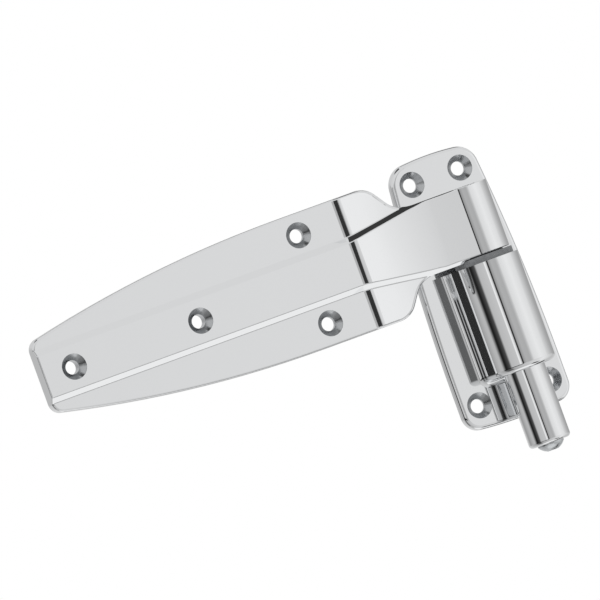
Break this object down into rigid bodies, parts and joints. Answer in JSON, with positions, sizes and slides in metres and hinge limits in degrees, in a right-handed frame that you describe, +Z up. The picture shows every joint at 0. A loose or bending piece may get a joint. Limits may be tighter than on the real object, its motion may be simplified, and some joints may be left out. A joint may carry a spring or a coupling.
{
  "type": "cam-rise hinge",
  "caption": "Spring-assisted cam-rise strap hinge: long ribbed strap with knuckle over a flange with barrel, web and spring tube; helical cams lift the strap as it opens.",
  "frame": {"origin": "on the flange's back plane, straight behind the pin, level with the top of the barrel", "axes": "+X from the strap's tip towards the pin, +Y into the wall or door, +Z up along the pin"},
  "size_m": [0.2635, 0.0397, 0.1606],
  "materials": {
    "chrome_plated_zinc": "polished chrome plate on a zinc die casting",
    "grey_nylon": "moulded, matte",
    "pin_steel": "ground bar",
    "spring_steel": "drawn wire",
    "plated_steel": "bright zinc plate"
  },
  "bodies": {
    "flange_leaf": {"flange": "chrome_plated_zinc", "lower_cam": "grey_nylon", "spring_washer": "plated_steel", "assist_spring": "spring_steel"},
    "lift": {"spring_seat": "grey_nylon"},
    "strap_leaf": {"strap": "chrome_plated_zinc", "upper_cam": "grey_nylon", "hinge_pin": "pin_steel", "pin_lock": "plated_steel", "pin_washer": "plated_steel", "lock_washer": "plated_steel", "pin_screw": "plated_steel"}
  },
  "joints": [
    {"name": "rise", "type": "slide", "parent": "flange_leaf", "child": "lift", "axis": [0, 0, 1], "range_m": [0, 0.01223], "stiffness_N_per_m": 3000, "springref_m": -0.008, "deforming": ["assist_spring"]},
    {"name": "swing", "type": "hinge", "parent": "lift", "child": "strap_leaf", "pos_m": [0, -0.0205, 0], "axis": [0, 0, 1], "range_deg": [0, 110]}
  ],
  "couplings": [
    {"joint": "rise", "follows": "swing", "m_per_rad": 0.0063662}
  ]
}
